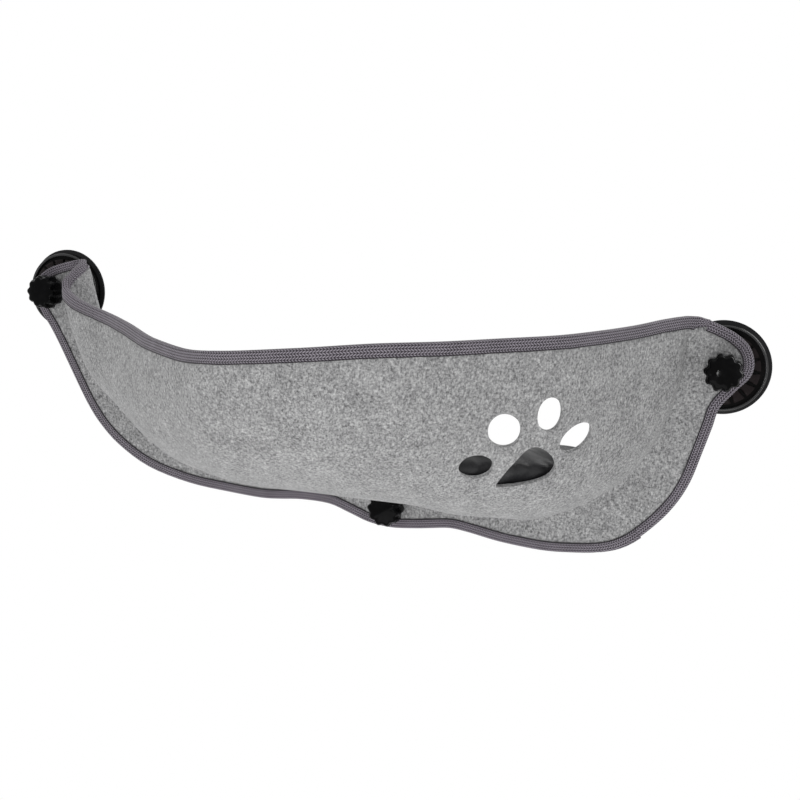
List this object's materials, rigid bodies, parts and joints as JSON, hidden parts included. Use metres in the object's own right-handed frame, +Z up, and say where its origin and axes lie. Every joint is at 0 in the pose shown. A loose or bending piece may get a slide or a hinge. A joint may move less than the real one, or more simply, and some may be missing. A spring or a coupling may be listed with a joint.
{
  "type": "window_mounted_cat_perch",
  "caption": "Felt cat bed hung on a window by screw suction cups, with a bound rim, a paw-shaped cut-out, a loose cushion and lobed clamping knobs",
  "frame": {"origin": "midway between the two upper suction cups, on the plane of the glass", "axes": "+X along the window, to the right seen from the room; +Y out through the glass, away from the room; +Z up"},
  "size_m": [0.708, 0.2255, 0.2248],
  "materials": {
    "felt": "matt mottled pressed felt",
    "binding_tape": "matt woven tape",
    "cushion_cloth": "matt woven cloth",
    "cup_rubber": "smooth satin",
    "housing_plastic": "semi-gloss",
    "knob_plastic": "satin",
    "zinc_steel": "plated",
    "insert_brass": "plain"
  },
  "bodies": {
    "frame": {"felt_sling": "felt", "rim_binding": "binding_tape", "flange_binding": "binding_tape", "binding_overlap": "binding_tape", "suction_cup_left": "cup_rubber", "cup_housing_left": "housing_plastic", "stud_left": "zinc_steel", "suction_cup_right": "cup_rubber", "cup_housing_right": "housing_plastic", "stud_right": "zinc_steel", "suction_cup_lower": "cup_rubber", "cup_housing_lower": "housing_plastic", "stud_lower": "zinc_steel"},
    "washer_left_body": {"washer_left": "zinc_steel"},
    "knob_left_body": {"knob_left": "knob_plastic", "thread_insert_left": "insert_brass"},
    "washer_right_body": {"washer_right": "zinc_steel"},
    "knob_right_body": {"knob_right": "knob_plastic", "thread_insert_right": "insert_brass"},
    "washer_lower_body": {"washer_lower": "zinc_steel"},
    "knob_lower_body": {"knob_lower": "knob_plastic", "thread_insert_lower": "insert_brass"},
    "cushion_body": {"cushion": "cushion_cloth"}
  },
  "joints": [
    {"name": "washer_left_slide", "type": "slide", "parent": "frame", "child": "washer_left_body", "axis": [0, -1, 0], "range_m": [0, 0.00375]},
    {"name": "knob_left_turn", "type": "hinge", "parent": "washer_left_body", "child": "knob_left_body", "pos_m": [-0.314, -0.04, 0], "axis": [0, -1, 0], "range_deg": [0, 1080]},
    {"name": "washer_right_slide", "type": "slide", "parent": "frame", "child": "washer_right_body", "axis": [0, -1, 0], "range_m": [0, 0.00375]},
    {"name": "knob_right_turn", "type": "hinge", "parent": "washer_right_body", "child": "knob_right_body", "pos_m": [0.314, -0.04, 0], "axis": [0, -1, 0], "range_deg": [0, 1080]},
    {"name": "washer_lower_slide", "type": "slide", "parent": "frame", "child": "washer_lower_body", "axis": [0, -1, 0], "range_m": [0, 0.00375]},
    {"name": "knob_lower_turn", "type": "hinge", "parent": "washer_lower_body", "child": "knob_lower_body", "pos_m": [0.042, -0.04, -0.158], "axis": [0, -1, 0], "range_deg": [0, 1080]},
    {"name": "cushion_lift", "type": "slide", "parent": "frame", "child": "cushion_body", "axis": [0, 0, 1], "range_m": [0, 0.2]}
  ],
  "couplings": [
    {"joint": "washer_left_slide", "follows": "knob_left_turn", "m_per_rad": 0.00019855},
    {"joint": "washer_right_slide", "follows": "knob_right_turn", "m_per_rad": 0.00019855},
    {"joint": "washer_lower_slide", "follows": "knob_lower_turn", "m_per_rad": 0.00019855}
  ]
}
